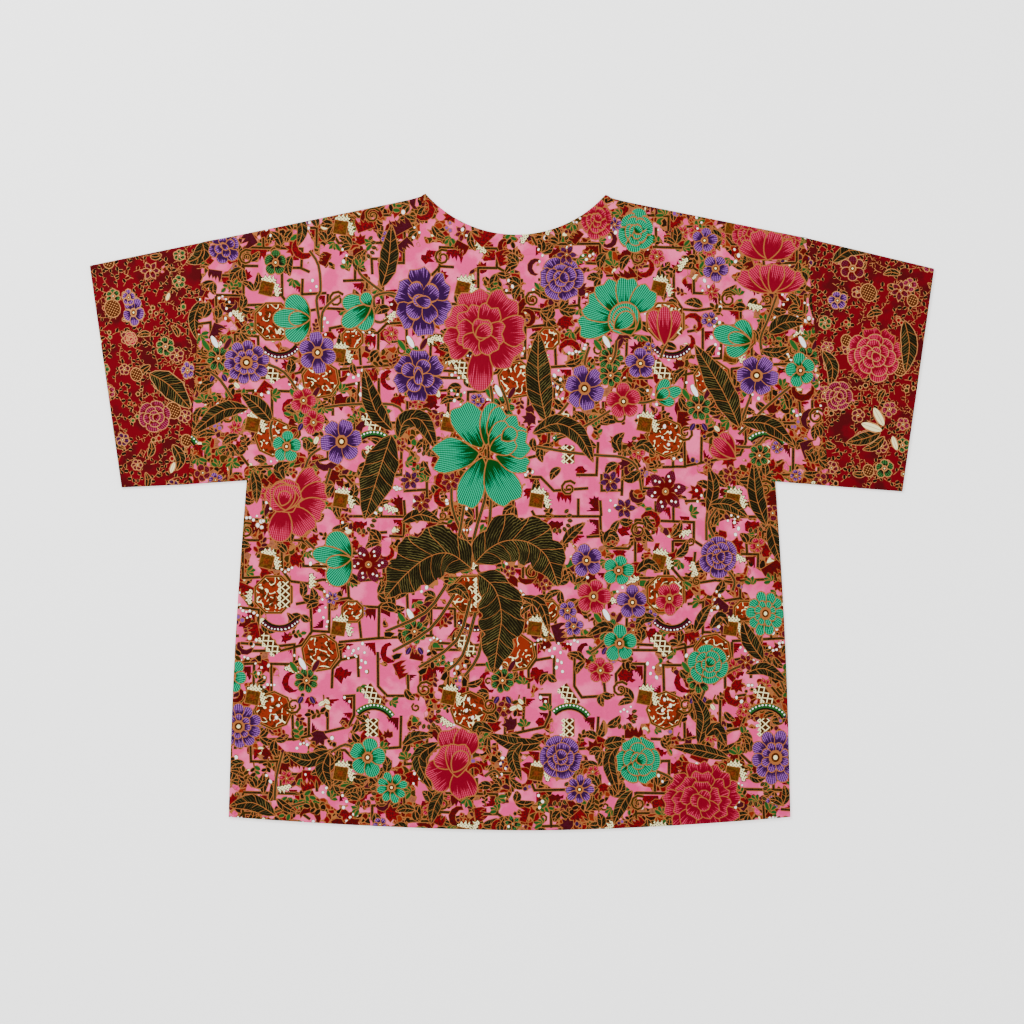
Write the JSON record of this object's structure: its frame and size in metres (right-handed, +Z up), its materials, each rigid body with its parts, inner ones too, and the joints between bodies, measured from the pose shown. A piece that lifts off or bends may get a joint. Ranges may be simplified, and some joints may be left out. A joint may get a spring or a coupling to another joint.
{
  "type": "batik crop shirt",
  "caption": "Short boxy pull-on blouse in a T cut, of floral batik cotton with red half-sleeve ends, laid flat with its back up.",
  "frame": {"origin": "on the surface the shirt lies on, under the middle of its outline", "axes": "+X from the wearer's left cuff to the right one, +Y up the cloth to the neck, +Z up from the surface"},
  "size_m": [0.845, 0.637, 0.0044],
  "materials": {
    "pink_print": "matt printed cotton",
    "red_print": "matt printed cotton"
  },
  "bodies": {
    "root": {"back_panel": "pink_print", "front_panel": "pink_print", "left_sleeve_end": "red_print", "right_sleeve_end": "red_print"}
  },
  "joints": []
}
